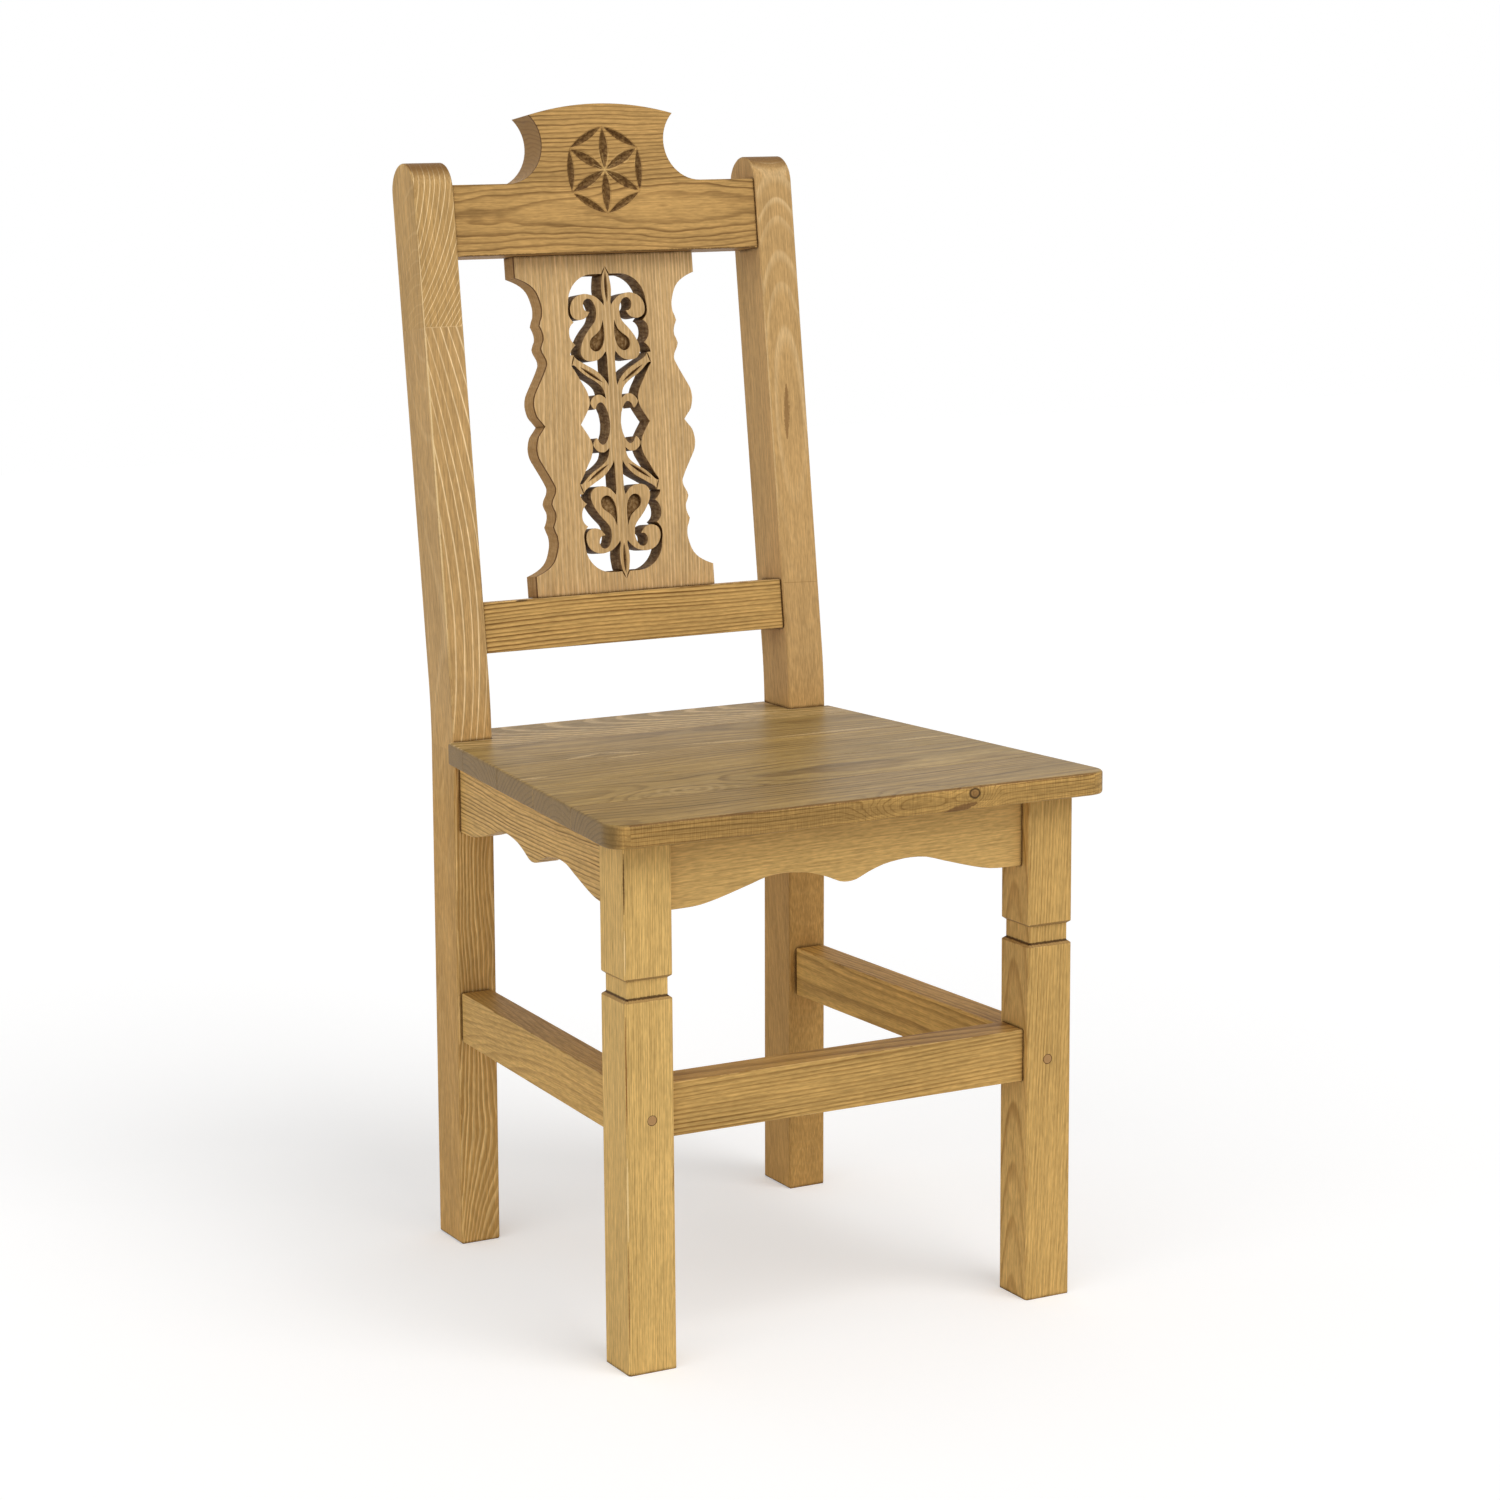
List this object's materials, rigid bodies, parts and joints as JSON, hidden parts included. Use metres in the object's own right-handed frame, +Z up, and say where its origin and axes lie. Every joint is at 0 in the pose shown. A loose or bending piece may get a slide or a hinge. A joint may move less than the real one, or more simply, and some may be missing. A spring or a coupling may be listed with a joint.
{
  "type": "dining chair",
  "caption": "Pine side chair with square necked front legs, leaning back posts, an arched crest with a carved rosette and a pierced scroll splat",
  "frame": {"origin": "on the floor, under the middle of the chair's outer box", "axes": "+Z up, the chair faces -Y, +X to the right as seen from the front"},
  "size_m": [0.4828, 0.5314, 1.0501],
  "materials": {
    "stained_pine": "satin, stained and varnished",
    "seat_pine": "semi-gloss, stained and varnished",
    "plug_end_grain": "satin end grain",
    "raw_pine": "unfinished",
    "zinc_steel": "zinc plated"
  },
  "bodies": {
    "root": {"stretcher_screw_left": "zinc_steel", "stretcher_screw_right": "zinc_steel", "seat_screw_front_left": "zinc_steel", "seat_screw_front_right": "zinc_steel", "seat_screw_rear_left": "zinc_steel", "seat_screw_rear_right": "zinc_steel", "seat_stave_1": "seat_pine", "seat_stave_2": "seat_pine", "seat_stave_3": "seat_pine", "seat_stave_4": "seat_pine", "seat_stave_5": "seat_pine", "leg_plug_left": "plug_end_grain", "leg_plug_right": "plug_end_grain", "seat_cleat_front": "raw_pine", "seat_cleat_rear": "raw_pine", "front_leg_left": "stained_pine", "front_leg_right": "stained_pine", "rear_post_left": "stained_pine", "rear_post_right": "stained_pine", "front_apron": "stained_pine", "side_apron_left": "stained_pine", "side_apron_right": "stained_pine", "rear_apron": "stained_pine", "front_stretcher": "stained_pine", "side_stretcher_left": "stained_pine", "side_stretcher_right": "stained_pine", "crest_rail": "stained_pine", "lower_back_rail": "stained_pine", "back_splat": "stained_pine"}
  },
  "joints": []
}
